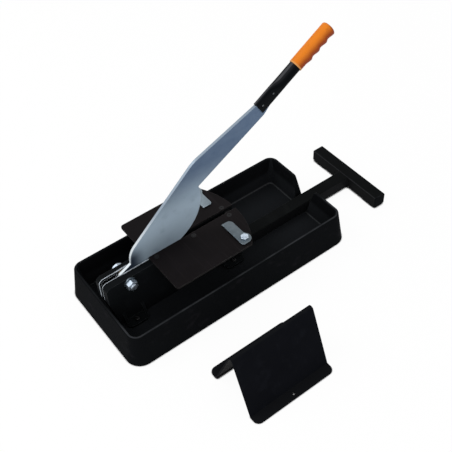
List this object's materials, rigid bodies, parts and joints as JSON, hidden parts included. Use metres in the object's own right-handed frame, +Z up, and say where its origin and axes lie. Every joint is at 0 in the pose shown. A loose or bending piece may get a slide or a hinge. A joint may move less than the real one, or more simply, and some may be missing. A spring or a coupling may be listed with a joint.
{
  "type": "laminate cutter",
  "caption": "Hand lever cutter for flooring planks: hinged blade in a slotted frame on a tray with a T foot, swinging fence stops and a loose plank stand.",
  "frame": {"origin": "middle of the tray's underside, on the ground", "axes": "+X along the frame from the blade's pivot towards the handle and the T foot, +Y across the blade away from the plank stand, +Z up"},
  "size_m": [0.609, 0.4408, 0.4146],
  "materials": {
    "black_plastic": "moulded, satin",
    "black_paint": "powder coat, satin",
    "table_paint": "powder coat, satin",
    "zinc": "zinc plated",
    "bright_steel": "bright plated",
    "bronze": "turned",
    "blade_steel": "ground, oiled",
    "orange_grip": "soft vinyl",
    "rubber": "moulded"
  },
  "bodies": {
    "base": {"base_tray": "black_plastic", "frame_near": "black_paint", "frame_far": "black_paint", "frame_screws": "zinc", "table_near": "table_paint", "table_far": "table_paint", "table_screws": "bright_steel", "fence_bolts": "bright_steel", "fence_nuts": "zinc", "pivot_bolt": "bright_steel", "pivot_bush": "bronze", "pivot_washer": "zinc", "pivot_nut": "zinc", "stop_bolt": "zinc", "stop_sleeve": "zinc", "stop_nut": "zinc", "stem_tube": "black_paint", "cross_tube": "black_paint", "cross_caps": "black_plastic", "foot_pads": "rubber", "stem_bolts": "zinc", "stem_nuts": "zinc"},
    "lever": {"blade": "blade_steel", "handle_tube": "black_paint", "handle_rivets": "black_paint", "handle_grip": "orange_grip"},
    "near_stop": {"fence_near": "zinc"},
    "far_stop": {"fence_far": "zinc"},
    "stand": {"plank_stand": "black_paint"}
  },
  "joints": [
    {"name": "blade_hinge", "type": "hinge", "parent": "base", "child": "lever", "pos_m": [-0.18, 0, 0.098], "axis": [0, -1, 0], "range_deg": [-32, 55]},
    {"name": "near_stop_swing", "type": "hinge", "parent": "base", "child": "near_stop", "pos_m": [0.0265, -0.0745, 0.1138], "axis": [0, 0, -1], "range_deg": [-45, 45]},
    {"name": "far_stop_swing", "type": "hinge", "parent": "base", "child": "far_stop", "pos_m": [0.0265, 0.0745, 0.1138], "axis": [0, 0, 1], "range_deg": [-45, 45]},
    {"name": "stand_place", "type": "slide", "parent": "base", "child": "stand", "axis": [0, 1, 0], "range_m": [-0.3, 0.06]}
  ]
}
